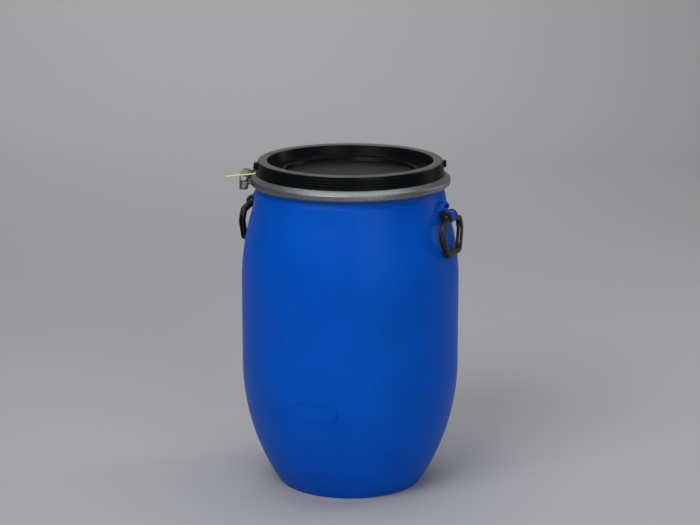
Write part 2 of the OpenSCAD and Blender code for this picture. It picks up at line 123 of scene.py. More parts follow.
class LidSizes(bpy.types.PropertyGroup):
    """Sizes of the lid."""
    rim: length("Rim radius", "Outer radius of the stacking rim", 0.168)
    rim_inner: length("Rim inner radius", "Inner radius of the stacking rim", 0.152)
    foot: length("Wall foot radius", "Radius at the foot of the ribbed wall", 0.1713)
    flange: length("Flange radius", "Outer radius of the flange under the clamp ring", 0.1795)
    flange_low: length("Flange underside", "Height of the flange's underside", 0.572)
    flange_edge: length("Flange edge", "Height of the flange's outer edge", 0.5732)
    flange_top: length("Flange top", "Height where the flange meets the wall", 0.5788)
    skirt: length("Skirt radius", "Outer radius of the locating skirt in the mouth", 0.159)
    recess: length("Recess radius", "Radius at the foot of the recess", 0.1475)
    ledge_z: length("Ledge height", "Height of the ledge in the recess", 0.5855)
    step: length("Step radius", "Radius of the ring around the centre panel", 0.122)
    step_width: length("Step width", "Width of that ring", 0.0055)
    step_height: length("Step height", "Height of that ring over the ledge", 0.0022)
    panel_drop: length("Panel drop", "Depth of the centre panel under the ledge", 0.005)
    wall: length("Sheet", "Thickness of the lid's sheet", 0.003)
    rib_pitch: length("Rib pitch", "Spacing of the ribs on the outer wall", 0.0052)
    rib_height: length("Rib height", "Height of a rib over the wall", 0.0008)
    ribs: bpy.props.IntProperty(name="Ribs", description="Number of ribs", default=4, min=0, max=6)
    ear_out: length("Ear depth", "How far an ear stands proud of the rim", 0.008)
    ear_height: length("Ear height", "Height of an ear", 0.012)
    ear_width: length("Ear width", "Width of an ear", 0.022)


class RingSizes(bpy.types.PropertyGroup):
    """Sizes of the clamp ring, the latch and the seal."""
    sheet: length("Ring sheet", "Thickness of the ring's sheet", 0.0015)
    radius: length("Ring radius", "Outer radius of the ring's web", 0.183)
    leg_inner: length("Leg radius", "Radius that the ring's legs reach inwards to", 0.1716)
    bend: length("Bend radius", "Radius of the bends in the sheet", 0.0026)
    web_low: length("Web from", "Height of the web's lower edge", 0.5645)
    web_high: length("Web to", "Height of the web's upper edge", 0.573)
    pivot_at: angle("Pivot direction", "Direction of the lever's pivot around the drum", 169)
    split: angle("Split", "Open gap between the ring's ends", 3)
    flex: angle("Flex gap", "Gap between the halves at the flex point", 0.4)
    pivot_out: length("Pivot radius", "Radius of the lever's pivot", 0.1945)
    link_line: length("Link radius", "Radius of the link's line", 0.188)
    eye_ahead: length("Eye distance", "Distance from the pivot to the link's eye", 0.0134)
    hook_back: length("Hook distance", "Distance from the pivot back to the hook pin", 0.030)
    lever_sweep: angle("Lever sweep", "Angle that the lever covers", 20.8)
    lever_radius: length("Lever radius", "Outer radius of the lever", 0.2014)
    lever_sheet: length("Lever sheet", "Thickness of the lever's sheet", 0.0014)
    web_ahead: length("Web start", "Distance from the pivot to where the lever's web starts", 0.0056)
    slot_end: length("Slot end", "Distance from the pivot to the end of the slot that the link passes", 0.030)
    slot_height: length("Slot height", "Height of that slot", 0.012)
    pin: length("Pin diameter", "Diameter of the latch pins", 0.005)
    stub: length("Stub length", "Length of each of the lever's two pivots", 0.006)
    seal_ahead: angle("Seal direction", "Angle of the seal in front of the pivot", 18.5)
    strap_width: length("Strap width", "Width of the seal's strap", 0.007)
    strap_thick: length("Strap thickness", "Thickness of the seal's strap", 0.0014)


class HandleSizes(bpy.types.PropertyGroup):
    """Sizes of the two handles."""
    at: angle("Direction", "Direction of the first handle around the drum", -22.5)
    radius: length("Pivot radius", "Radius of the pivot line", 0.192)
    pivot_z: length("Pivot height", "Height of the pivot line", 0.515)
    boss: length("Boss diameter", "Diameter of the pivot bosses", 0.022)
    boss_width: length("Boss width", "Width of a boss", 0.008)
    boss_gap: length("Boss gap", "Gap between the moulded ear and a boss", 0.0005)
    bar: length("Bar", "Thickness of the bar", 0.011)
    corner_half: length("Corner half width", "Half of the loop's width at its upper corners", 0.041)
    corner_drop: length("Corner drop", "Drop to the upper corners", 0.011)
    loop_half: length("Loop half width", "Half of the loop's greatest width", 0.047)
    wide_drop: length("Wide drop", "Drop to the loop's widest point", 0.030)
    grip_half: length("Grip half width", "Half of the grip's straight length", 0.030)
    grip_drop: length("Grip drop", "Drop to the grip", 0.066)
    wide_out: length("Wide stand-off", "How far the widest point stands out from the pivot", 0.005)
    grip_out: length("Grip stand-off", "How far the grip stands out from the pivot", 0.0082)
    pin: length("Pin diameter", "Diameter of the handle's pin", 0.008)
    slot: length("Slot", "Width of the slot along each arm", 0.0045)


class Finishes(bpy.types.PropertyGroup):
    """Colours and gloss of the materials."""
    blue: colour("Body blue", "Main colour of the body", (0.0004, 0.098, 0.60))
    blue_deep: colour("Deep blue", "Colour of the body's darker areas", (0.0004, 0.088, 0.55))
    black: colour("Lid black", "Main colour of the lid", (0.0040, 0.0050, 0.0055))
    black_worn: colour("Worn black", "Colour of the lid's rubbed areas", (0.020, 0.022, 0.024))
    # The rim's grey is lighter than the lid's black. This is painted sheen, standing in for the backdrop's grazing
    # reflection on the rim top.
    rim_painted_sheen: colour("Rim black", "Colour of the rim that other drums stand on", (0.042, 0.043, 0.045))
    zinc: colour("Galvanised sheet", "Main colour of the ring", (0.30, 0.315, 0.32))
    zinc_dark: colour("Dull zinc", "Colour of the ring's duller crystals", (0.20, 0.21, 0.22))
    latch: colour("Latch plating", "Main colour of the latch", (0.46, 0.48, 0.42))
    latch_dark: colour("Dull plating", "Colour of the latch's duller areas", (0.26, 0.29, 0.25))
    strap: colour("Seal yellow", "Colour of the seal", (0.85, 0.76, 0.20))
    body_gloss: share("Body roughness", "Roughness of the body", 0.38)
    lid_gloss: share("Lid roughness", "Roughness of the lid", 0.29)
    rim_gloss: share("Rim roughness", "Roughness of the lid's rim", 0.42)
    handle_gloss: share("Handle roughness", "Roughness of the handles", 0.42)
    rubber_gloss: share("Seal rubber roughness", "Roughness of the rubber ring", 0.70)
    strap_gloss: share("Strap roughness", "Roughness of the pull seal", 0.32)
    ring_gloss: share("Ring roughness", "Roughness of the clamp ring", 0.42)
    latch_gloss: share("Latch roughness", "Roughness of the latch", 0.30)
    pin_gloss: share("Pin roughness", "Roughness of the pins and rivets", 0.22)
    body_sheen: share("Body reflection", "Strength of the body's reflections", 0.06)
    lid_sheen: share("Lid reflection", "Strength of the lid's reflections", 0.05)
    rim_sheen: share("Rim reflection", "Strength of the reflections of the lid's rim", 0.80)
    handle_sheen: share("Handle reflection", "Strength of the handles' reflections", 0.30)
    rubber: colour("Rubber", "Main colour of the rubber ring", (0.035, 0.035, 0.036))
    rubber_dark: colour("Dark rubber", "Colour of the rubber's darker areas", (0.02, 0.02, 0.021))
    rubber_worn: colour("Worn rubber", "Colour of the rubber's rubbed areas", (0.06, 0.06, 0.06))
    strap_worn: colour("Worn seal", "Colour of the seal's rubbed areas", (0.95, 0.92, 0.6))


class StageSettings(bpy.types.PropertyGroup):
    """The paper sweep, the lights and the camera."""
    paper: colour("Paper", "Colour of the backdrop", (0.47, 0.47, 0.482))
    distance: length("Camera distance", "Distance of the camera in front of the drum's axis", 3.584)
    height: length("Camera height", "Height of the camera", 1.273)
    pitch: angle("Camera pitch", "How far the camera looks down", 13.51)
    lens: bpy.props.FloatProperty(name="Lens", description="Focal length in millimetres on a 36 mm sensor",
                                  default=102.86, min=10.0)


class DrumSettings(bpy.types.PropertyGroup):
    """All the settings, on the scene."""
    body: bpy.props.PointerProperty(type=BodySizes, name="Body", description="Sizes of the body")
    lid: bpy.props.PointerProperty(type=LidSizes, name="Lid", description="Sizes of the lid")
    ring: bpy.props.PointerProperty(type=RingSizes, name="Ring", description="Sizes of the ring and latch")
    handle: bpy.props.PointerProperty(type=HandleSizes, name="Handle", description="Sizes of the handles")
    finish: bpy.props.PointerProperty(type=Finishes, name="Finishes", description="Colours and gloss")
    stage: bpy.props.PointerProperty(type=StageSettings, name="Stage", description="Backdrop and camera")


# ---------------------------------------------------------------- curves and outlines

def fillet(points, radii, closed=False, steps=6):
    """Rounds each corner of a polyline: the corner P becomes the parabola through A and B, which lie on the
    two edges at radius * tan(half the turn) from P, as (1-t)^2 A + 2t(1-t) P + t^2 B."""
    p = np.asarray(points, float)
    r = np.broadcast_to(np.asarray(radii, float), len(p)).copy()
    if not closed:
        r[[0, -1]] = 0
    before, after = np.roll(p, 1, 0) - p, np.roll(p, -1, 0) - p
    len_b, len_a = (np.maximum(np.linalg.norm(v, axis=1), 1e-9) for v in (before, after))
    cos_in = np.clip((before * after).sum(1) / (len_b * len_a), -1, 1)
    cut = r / np.maximum(np.tan(np.arccos(cos_in) / 2), 1e-6)
    cut = np.minimum(cut, 0.49 * np.minimum(len_b, len_a))[:, None]
    a, b = p + before / len_b[:, None] * cut, p + after / len_a[:, None] * cut
    t = np.linspace(0, 1, steps)[None, :, None]
    out = ((1 - t) ** 2 * a[:, None] + 2 * t * (1 - t) * p[:, None] + t ** 2 * b[:, None]).reshape(-1, p.shape[1])
    keep = np.r_[True, np.linalg.norm(np.diff(out, axis=0), axis=1) > 1e-6]
    out = out[keep]
    if closed and np.linalg.norm(out[0] - out[-1]) < 1e-6:
        out = out[:-1]
    return out


def arc_points(centre, radius, start, stop, count):
    """Points of a circle's arc, angles in radians."""
    t = np.linspace(start, stop, count)
    return np.c_[centre[0] + radius * np.cos(t), centre[1] + radius * np.sin(t)]


def outline_normals(outline):
    """Unit normals of a closed outline, pointing outwards whichever way round it runs."""
    ahead = np.roll(outline, -1, 0) - np.roll(outline, 1, 0)
    normal = np.c_[ahead[:, 1], -ahead[:, 0]] / np.maximum(np.linalg.norm(ahead, axis=1), 1e-12)[:, None]
    x, y = outline.T
    turned = np.sign((x * np.roll(y, -1) - y * np.roll(x, -1)).sum())
    return normal * turned


def strip_section(line, thickness):
    """Closed outline of a bent sheet: the centre line moved half the thickness to each side along its normals."""
    ahead = np.gradient(line, axis=0)
    side = np.c_[ahead[:, 1], -ahead[:, 0]] / np.linalg.norm(ahead, axis=1)[:, None]
    raw = np.r_[line + side * thickness / 2, (line - side * thickness / 2)[::-1]]
    ends = np.zeros(len(raw))
    ends[[0, len(line) - 1, len(line), -1]] = thickness * 0.35
    return fillet(raw, ends, closed=True, steps=4)


# ---------------------------------------------------------------- surfaces

def grid_faces(rows, cols, wrap_rows=False, wrap_cols=False):
    """Quads between the neighbours of a rows x cols grid; a wrapped side joins its last line to its first."""
    a, b = np.meshgrid(np.arange(rows if wrap_rows else rows - 1),
                       np.arange(cols if wrap_cols else cols - 1), indexing="ij")
    a2, b2 = (a + 1) % rows, (b + 1) % cols
    return np.stack([a * cols + b, a2 * cols + b, a2 * cols + b2, a * cols + b2], -1).reshape(-1, 4).tolist()


def capped(points, wrap_rows=False):
    """A tube from a (rows, cols, 3) grid whose columns close on themselves, with a cap on each open end."""
    rows, cols = points.shape[:2]
    faces = grid_faces(rows, cols, wrap_rows, True)
    if not wrap_rows:
        faces += [list(range(cols)), list(range((rows - 1) * cols, rows * cols))[::-1]]
    return points.reshape(-1, 3), faces


def lathe(section, start=0.0, sweep=TURN, segments=288):
    """Turns a closed (radius, height) section about Z: x = r cos(a), y = r sin(a), z = h."""
    full = abs(sweep - TURN) < 1e-9
    a = start + sweep * np.arange(segments + (0 if full else 1)) / segments
    r, h = section[:, 0], section[:, 1]
    points = np.stack([np.outer(np.cos(a), r), np.outer(np.sin(a), r), np.tile(h, (len(a), 1))], -1)
    return capped(points, wrap_rows=full)


def slab(outline, low, high, bevel, place, steps=5):
    """A plate with rounded edges: the outline carried from low to high, drawn in along its normals by
    bevel * (1 - sin t) where it is bevel * (1 - cos t) from an end. place maps (a, b, depth) to space."""
    t = np.linspace(0, math.pi / 2, steps)
    inset = np.r_[bevel * (1 - np.sin(t)), (bevel * (1 - np.sin(t)))[::-1]]
    depth = np.r_[low + bevel * (1 - np.cos(t)), (high - bevel * (1 - np.cos(t)))[::-1]]
    flat = outline[None] - outline_normals(outline)[None] * inset[:, None, None]
    points = np.concatenate([flat, np.broadcast_to(depth[:, None, None], flat.shape[:2] + (1,))], -1)
    return capped(place(points))


def sweep(path, section, up):
    """Carries a closed section along a path: side = tangent x up, and the section's second axis = side x tangent.
    section is (k, 2), or (n, k, 2) where it changes along the path."""
    tangent = np.gradient(path, axis=0)
    tangent /= np.linalg.norm(tangent, axis=1)[:, None]
    side = np.cross(tangent, np.asarray(up, float))
    side /= np.linalg.norm(side, axis=1)[:, None]
    rise = np.cross(side, tangent)
    section = np.broadcast_to(section, (len(path),) + section.shape[-2:])
    return capped(path[:, None] + section[..., :1] * side[:, None] + section[..., 1:] * rise[:, None])


def disc(radius, count=40):
    """A circle's outline."""
    return arc_points((0, 0), radius, 0, TURN * (1 - 1 / count), count)


def turned(part, a):
    """Turns a part by the angle a about Z."""
    points, faces = part
    c, s = math.cos(a), math.sin(a)
    return points @ np.array([[c, s, 0], [-s, c, 0], [0, 0, 1]]), faces


def moved(part, offset):
    """Moves a part."""
    return part[0] + np.asarray(offset), part[1]


def upright(points):
    """Places a slab's (a, b, depth) as x, y, z."""
    return points


def across(points):
    """Places a slab's (a, b, depth) as radius, height and distance along the tangent."""
    return points[..., [0, 2, 1]]


def make(name, parts, material, body, sharp=38.0, second=None):
    """Makes one object from closed parts, with doubles merged, normals outwards and smooth faces, and rides it.
    second is another material and a test that picks its faces by their centres."""
    points, faces, base = [], [], 0
    for part_points, part_faces in parts:
        points.append(part_points)
        faces += [[i + base for i in face] for face in part_faces]
        base += len(part_points)
    mesh = bpy.data.meshes.new(name)
    mesh.from_pydata(np.concatenate(points).tolist(), [], faces)
    work = bmesh.new()
    work.from_mesh(mesh)
    bmesh.ops.remove_doubles(work, verts=work.verts, dist=1e-6)
    bmesh.ops.dissolve_degenerate(work, edges=work.edges, dist=1e-7)
    bmesh.ops.recalc_face_normals(work, faces=work.faces)
    work.to_mesh(mesh)
    work.free()
    mesh.polygons.foreach_set("use_smooth", np.ones(len(mesh.polygons), bool))
    mesh.set_sharp_from_angle(angle=math.radians(sharp))
    mesh.materials.append(material)
    if second:
        mesh.materials.append(second[0])
        centres = np.empty(3 * len(mesh.polygons))
        mesh.polygons.foreach_get("center", centres)
        mesh.polygons.foreach_set("material_index", second[1](centres.reshape(-1, 3)).astype(np.int32))
    piece = bpy.data.objects.new(name, mesh)
    bpy.context.scene.collection.objects.link(piece)
    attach(piece, body)
    return piece


# ---------------------------------------------------------------- shared shader groups

def new_group(name, inputs, outputs):
    """A shader node group with named number or colour sockets."""
    tree = bpy.data.node_groups.new(name, "ShaderNodeTree")
    for side, sockets in (("INPUT", inputs), ("OUTPUT", outputs)):
        for socket, kind, default in sockets:
            made = tree.interface.new_socket(socket, in_out=side, socket_type=f"NodeSocket{kind}")
            if side == "INPUT" and default is not None:
                made.default_value = default
    return tree, tree.nodes.new("NodeGroupInput"), tree.nodes.new("NodeGroupOutput")


def add(tree, kind, settings=None, **links):
    """Adds a node, sets its attributes, and sets or links its input sockets by name."""
    node = tree.nodes.new(kind)
    for key, value in (settings or {}).items():
        setattr(node, key, value)
    for key, value in links.items():
        socket = node.inputs[int(key[1:])] if key[1:].isdigit() else node.inputs[key.replace("_", " ")]
        if isinstance(value, bpy.types.NodeSocket):
            tree.links.new(value, socket)
        else:
            socket.default_value = value
    return node


def grain_group():
    """Moulded skin: fine orange peel and a softer waviness, as one height."""
    tree, ins, outs = new_group("Moulded Grain", [("Scale", "Float", 900.0), ("Wave", "Float", 0.4)],
                                [("Height", "Float", None), ("Tone", "Float", None)])
    place = add(tree, "ShaderNodeTexCoord").outputs["Object"]
    fine = add(tree, "ShaderNodeTexNoise", Vector=place, Scale=ins.outputs["Scale"], Detail=3.0, Roughness=0.55)
    broad = add(tree, "ShaderNodeTexNoise", Vector=place, Scale=14.0, Detail=3.0, Roughness=0.5)
    wave = add(tree, "ShaderNodeMath", {"operation": "MULTIPLY"}, _0=broad.outputs["Fac"], _1=ins.outputs["Wave"])
    height = add(tree, "ShaderNodeMath", {"operation": "ADD"}, _0=fine.outputs["Fac"], _1=wave.outputs[0])
    tree.links.new(height.outputs[0], outs.inputs["Height"])
    tree.links.new(broad.outputs["Fac"], outs.inputs["Tone"])
    return tree


def scuff_group():
    """Handling marks: thin lines where a stretched noise crosses its middle value, thinned out by a broad one."""
    tree, ins, outs = new_group("Handling Scuffs", [("Scale", "Float", 40.0), ("Amount", "Float", 0.3)],
                                [("Mask", "Float", None)])
    place = add(tree, "ShaderNodeTexCoord").outputs["Object"]
    stretch = add(tree, "ShaderNodeMapping", Vector=place, Scale=(1.0, 1.0, 5.0), Rotation=(0.4, 0.25, 0.0))
    lines = add(tree, "ShaderNodeTexNoise", Vector=stretch.outputs[0], Scale=ins.outputs["Scale"], Detail=5.0,
                Distortion=0.4)
    off = add(tree, "ShaderNodeMath", {"operation": "SUBTRACT"}, _0=lines.outputs["Fac"], _1=0.5)
    size = add(tree, "ShaderNodeMath", {"operation": "ABSOLUTE"}, _0=off.outputs[0])
    thin = add(tree, "ShaderNodeMapRange", Value=size.outputs[0], From_Min=0.0, From_Max=0.012, To_Min=1.0,
               To_Max=0.0)
    where = add(tree, "ShaderNodeTexNoise", Vector=place, Scale=7.0, Detail=2.0)
    patch = add(tree, "ShaderNodeMapRange", Value=where.outputs["Fac"], From_Min=0.52, From_Max=0.68)
    both = add(tree, "ShaderNodeMath", {"operation": "MULTIPLY"}, _0=thin.outputs[0], _1=patch.outputs[0])
    mask = add(tree, "ShaderNodeMath", {"operation": "MULTIPLY", "use_clamp": True}, _0=both.outputs[0],
               _1=ins.outputs["Amount"])
    tree.links.new(mask.outputs[0], outs.inputs["Mask"])
    return tree


def spangle_group():
    """Zinc crystals: cells of slightly different tone, with a fine tooth between them."""
    tree, ins, outs = new_group("Zinc Spangle", [("Scale", "Float", 260.0)],
                                [("Tone", "Float", None), ("Height", "Float", None)])
    place = add(tree, "ShaderNodeTexCoord").outputs["Object"]
    bend = add(tree, "ShaderNodeTexNoise", Vector=place, Scale=120.0, Detail=2.0)
    mixed = add(tree, "ShaderNodeMix", {"data_type": "VECTOR"}, Factor=0.012, _4=place, _5=bend.outputs["Color"])
    cells = add(tree, "ShaderNodeTexVoronoi", Vector=mixed.outputs[1], Scale=ins.outputs["Scale"])
    tone = add(tree, "ShaderNodeSeparateColor", Color=cells.outputs["Color"])
    fine = add(tree, "ShaderNodeTexNoise", Vector=place, Scale=1500.0, Detail=2.0)
    tree.links.new(tone.outputs[0], outs.inputs["Tone"])
    tree.links.new(fine.outputs["Fac"], outs.inputs["Height"])
    return tree


def place_group(tree, group, **values):
    """Puts a shared group into a material with its own values."""
    node = tree.nodes.new("ShaderNodeGroup")
    node.node_tree = group
    for key, value in values.items():
        node.inputs[key].default_value = value
    return node


def blank_material(name):
    """A node material with its Principled shader."""
    material = bpy.data.materials.new(name)
    material.use_nodes = True
    return material, material.node_tree, material.node_tree.nodes["Principled BSDF"]


def two_tone(tree, factor, dark, light):
    """A colour between two colours by a mask."""
    mix = add(tree, "ShaderNodeMix", {"data_type": "RGBA"}, _0=factor)
    mix.inputs[6].default_value = (*dark, 1.0)
    mix.inputs[7].default_value = (*light, 1.0)
    return mix.outputs[2]


def moulded_plastic(name, groups, dark, light, rubbed, gloss, grain=900.0, relief=0.12, scuffs=0.3, soft=0.0,
                    sheen=0.5):
    """Moulded polyethylene: two close tones, fine skin, handling marks, and a roughness that drifts."""
    material, tree, shader = blank_material(name)
    skin = place_group(tree, groups["grain"], Scale=grain, Wave=0.35)
    marks = place_group(tree, groups["scuffs"], Scale=26.0, Amount=scuffs)
    drift = add(tree, "ShaderNodeMapRange", Value=skin.outputs["Tone"], From_Min=0.35, From_Max=0.65)
    body = two_tone(tree, drift.outputs[0], dark, light)
    worn = add(tree, "ShaderNodeMix", {"data_type": "RGBA"}, _0=marks.outputs["Mask"], _6=body)
    worn.inputs[7].default_value = (*rubbed, 1.0)
    tree.links.new(worn.outputs[2], shader.inputs["Base Color"])
    rough = add(tree, "ShaderNodeMapRange", Value=skin.outputs["Tone"], From_Min=0.3, From_Max=0.7,
                To_Min=gloss - 0.04, To_Max=gloss + 0.05)
    total = add(tree, "ShaderNodeMath", {"operation": "MULTIPLY_ADD"}, _0=marks.outputs["Mask"], _1=0.2,
                _2=rough.outputs[0])
    tree.links.new(total.outputs[0], shader.inputs["Roughness"])
    bump = add(tree, "ShaderNodeBump", Height=skin.outputs["Height"], Strength=relief, Distance=0.0004)
    tree.links.new(bump.outputs[0], shader.inputs["Normal"])
    shader.inputs["IOR"].default_value = 1.5
    shader.inputs["Specular IOR Level"].default_value = sheen
    shader.inputs["Subsurface Weight"].default_value = soft
    shader.inputs["Subsurface Radius"].default_value = (0.2, 0.5, 1.0)
    shader.inputs["Subsurface Scale"].default_value = 0.002
    return material


def plated_steel(name, groups, dark, light, rough, spangle):
    """Zinc on steel: crystals of two tones over a fine tooth, with handling marks that dull it."""
    material, tree, shader = blank_material(name)
    zinc = place_group(tree, groups["spangle"], Scale=spangle)
    marks = place_group(tree, groups["scuffs"], Scale=60.0, Amount=0.55)
    base = two_tone(tree, zinc.outputs["Tone"], dark, light)
    dull = add(tree, "ShaderNodeMix", {"data_type": "RGBA"}, _0=marks.outputs["Mask"], _6=base)
    dull.inputs[7].default_value = (*(0.6 * c for c in dark), 1.0)
    tree.links.new(dull.outputs[2], shader.inputs["Base Color"])
    spread = add(tree, "ShaderNodeMapRange", Value=zinc.outputs["Tone"], To_Min=rough - 0.06, To_Max=rough + 0.1)
    tree.links.new(spread.outputs[0], shader.inputs["Roughness"])
    bump = add(tree, "ShaderNodeBump", Height=zinc.outputs["Height"], Strength=0.05, Distance=0.0002)
    tree.links.new(bump.outputs[0], shader.inputs["Normal"])
    shader.inputs["Metallic"].default_value = 1.0
    return material


MATERIALS = {}


def build_materials(finish):
    """Every material of the drum, by name."""
    groups = {"grain": grain_group(), "scuffs": scuff_group(), "spangle": spangle_group()}
    pale_blue = tuple(min(1.0, 1.15 * c + 0.012) for c in finish.blue)
    MATERIALS["blue"] = moulded_plastic(
        "Body Polyethylene", groups, finish.blue_deep, finish.blue, pale_blue, finish.body_gloss,
        scuffs=0.25, sheen=finish.body_sheen)
    MATERIALS["black"] = moulded_plastic(
        "Lid Polyethylene", groups, finish.black, finish.black, finish.black_worn, finish.lid_gloss,
        grain=700.0, scuffs=0.4, sheen=finish.lid_sheen)
    # The rim material's lighter base colour is painted sheen for the backdrop's grazing reflection on the rim top.
    # Its scuffs are real handling wear.
    MATERIALS["rim"] = moulded_plastic(
        "Scuffed Lid Rim Painted Sheen", groups, finish.rim_painted_sheen, finish.rim_painted_sheen, finish.black_worn,
        finish.rim_gloss, grain=700.0, scuffs=0.6, sheen=finish.rim_sheen)
    MATERIALS["handle"] = moulded_plastic(
        "Handle Polyethylene", groups, finish.black, finish.black_worn, finish.black_worn,
        finish.handle_gloss, grain=1100.0, relief=0.2, scuffs=0.4, sheen=finish.handle_sheen)
    MATERIALS["rubber"] = moulded_plastic(
        "Seal Rubber", groups, finish.rubber_dark, finish.rubber, finish.rubber_worn, finish.rubber_gloss,
        grain=1600.0, relief=0.25)
    MATERIALS["strap"] = moulded_plastic(
        "Strap Nylon", groups, finish.strap, finish.strap, finish.strap_worn, finish.strap_gloss,
        grain=1300.0, soft=0.5, scuffs=0.2)
    for key, name, dark, light, rough, spangle in (
            ("ring", "Galvanised Sheet", finish.zinc_dark, finish.zinc, finish.ring_gloss, 520.0),
            ("latch", "Latch Plating", finish.latch_dark, finish.latch, finish.latch_gloss, 700.0),
            ("pin", "Pin Plating", finish.latch_dark, finish.zinc, finish.pin_gloss, 700.0)):
        MATERIALS[key] = plated_steel(name, groups, dark, light, rough, spangle)


# ---------------------------------------------------------------- the body

def flank_arcs(s):
    """The body's two arcs: each leaves the straight wall and falls back by dr over dz, so its radius is
    (dr^2 + dz^2) / 2dr."""
    low_r = ((s.belly - s.base) ** 2 + s.straight_low ** 2) / (2 * (s.belly - s.base))
    rise = s.shoulder_z - s.straight_high
    top_r = ((s.belly - s.shoulder) ** 2 + rise ** 2) / (2 * (s.belly - s.shoulder))
    return low_r, top_r


def wall_radius(s, z):
    """Outer radius of the wall at the heights z, below the neck."""
    low_r, top_r = flank_arcs(s)
    z = np.asarray(z, float)
    low = s.belly - low_r + np.sqrt(np.maximum(low_r ** 2 - np.maximum(s.straight_low - z, 0) ** 2, 0))
    top = s.belly - top_r + np.sqrt(np.maximum(top_r ** 2 - np.maximum(z - s.straight_high, 0) ** 2, 0))
    return np.minimum(low, top)


def body_section(s):
    """The body's closed section: base, a foot whose corner is tangent to the flank, outer wall, neck and rim, then
    the inner wall down to the floor. The corner's circle of radius c touches the floor, and the flank's circle of
    radius R from inside, so its centre is R - c from the flank's centre."""
    low_r, _ = flank_arcs(s)
    corner = s.foot_corner
    foot_a = math.asin((s.straight_low - corner) / (low_r - corner))
    foot_r = s.belly - low_r + (low_r - corner) * math.cos(foot_a)
    foot = arc_points((foot_r, corner), corner, -math.pi / 2, -foot_a, 9)
    low = s.straight_low - low_r * math.sin(foot_a)
    heights = np.r_[np.linspace(low, s.straight_low, 56)[1:], np.linspace(s.straight_high, s.shoulder_z, 36)]
    outer = np.c_[wall_radius(s, heights), heights]
    foot_in = foot_r - s.foot_width
    floor = s.push_up + s.wall
    slope = 0.65
    rim_under = s.rim_low + (s.rim - s.neck) * slope
    inner = outer[outer[:, 1] > floor + 0.004][::-1] - (s.wall, 0)
    points = np.concatenate([
        [(0, s.push_up), (foot_in, s.push_up), (foot_in + 0.006, 0)],
        foot, outer,
        [(s.neck_top, s.neck_z), (s.neck, s.neck_z + 0.007), (s.neck, s.rim_low), (s.rim, rim_under),
         (s.rim, RIM_TOP), (s.mouth, RIM_TOP), (s.mouth, s.neck_z + 0.008), (s.neck_top - s.wall, s.neck_z)],
        inner,
        [(foot_in + 0.008, s.wall), (foot_in - 0.002, floor), (0, floor)]])
    radii = np.concatenate([[0, 0.004, 0.003], np.zeros(len(foot) + len(outer)),
                            [0.012, 0.003, 0.0015, 0.0012, 0.0022, 0.003, 0.004, 0.006],
                            np.zeros(len(inner)), [0.006, 0.006, 0]])
    return fillet(points, radii, steps=7)


def handle_mounting(s, h):
    """The hood over a handle's bosses and the ear that carries its pin. The hood is a rounded section carried on
    an arc about the radial axis through the pin; its face draws back towards both ends."""
    z = h.pivot_z
    root = s.hood_reach - 0.024
    outer = s.hood_inner + s.hood_thick
    section = fillet([(s.hood_inner, root), (s.hood_inner, s.hood_reach), (outer, s.hood_reach), (outer, root)],
                     (0, 0.0014, 0.0026, 0), closed=True, steps=7)
    t = np.linspace(-1, 1, 65)[:, None]
    around = t * s.hood_cover
    end = np.clip((np.abs(t) - 0.86) / 0.14, 0, 1)
    reach = section[None, :, 1] - 0.003 * (1 - np.sqrt(1 - 0.98 * end ** 2))
    hood = np.stack([reach, section[:, 0] * np.sin(around), z + section[:, 0] * np.cos(around)], -1)
    ear_r = s.ear_width / 2 + 0.002
    ear = fillet([(0.166, z - 0.008), (h.radius, z - ear_r), (h.radius + ear_r, z - ear_r),
                  (h.radius + ear_r, z + ear_r), (h.radius, z + ear_r), (0.166, z + ear_r)],
                 (0, 0.002, ear_r, ear_r, 0.002, 0), closed=True, steps=9)
    half = s.ear_width / 2
    return [capped(hood), slab(ear, -half, half, 0.0012, across)]


def stadium_distance(u, v, length_, width):
    """Signed distance from a stadium's outline: inside is negative."""
    reach = np.maximum(np.abs(u) - (length_ - width) / 2, 0)
    return np.hypot(reach, v) - width / 2


def marking_plate(s):
    """The blank plate's raised outline: a patch of wall lifted by relief * smooth step of the distance from a
    stadium's outline, sunk 1 mm into the wall at its border, and closed behind."""
    u = np.linspace(-s.plate_length / 2 - 0.004, s.plate_length / 2 + 0.004, 241)
    v = np.linspace(-s.plate_width / 2 - 0.004, s.plate_width / 2 + 0.004, 97)
    grid_u, grid_v = np.meshgrid(u, v, indexing="ij")
    gap = np.abs(stadium_distance(grid_u, grid_v, s.plate_length - s.plate_line, s.plate_width - s.plate_line))
    lift = np.clip(1.6 - gap / s.plate_line * 2.2, 0, 1)
    lift = lift * lift * (3 - 2 * lift) * (s.plate_out + 0.0010) - 0.0010
    z = s.plate_z + grid_v
    wall = wall_radius(s, z)
    around = s.plate_at + grid_u / wall
    front = np.stack([(wall + lift) * np.cos(around), (wall + lift) * np.sin(around), z], -1)
    back = np.stack([(wall - 0.002) * np.cos(around), (wall - 0.002) * np.sin(around), z], -1)
    rows, cols = len(u), len(v)
    quads = np.array(grid_faces(rows, cols))
    edge = np.concatenate([np.arange(cols), np.arange(1, rows) * cols + cols - 1,
                           (rows - 1) * cols + np.arange(cols - 2, -1, -1), np.arange(rows - 2, 0, -1) * cols])
    ahead = np.roll(edge, -1)
    count = rows * cols
    sides = np.stack([edge, ahead, ahead + count, edge + count], -1)
    faces = np.concatenate([quads, quads[:, ::-1] + count, sides]).tolist()
    return np.concatenate([front.reshape(-1, 3), back.reshape(-1, 3)]), faces


class DRUM_OT_body(bpy.types.Operator):
    """Build the moulded body with its handle mountings and blank plate"""
    bl_idname = "drum.build_body"
    bl_label = "Body"

    def execute(self, context):
        s, h = context.scene.open_drum.body, context.scene.open_drum.handle
        parts = [lathe(body_section(s)), marking_plate(s)]
        for a in (h.at, h.at + math.pi):
            parts += [turned(part, a) for part in handle_mounting(s, h)]
        shell = make("drum_shell", parts, MATERIALS["blue"], "drum")
        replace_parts(shell, "drum_body")
        return {"FINISHED"}


# ---------------------------------------------------------------- the lid

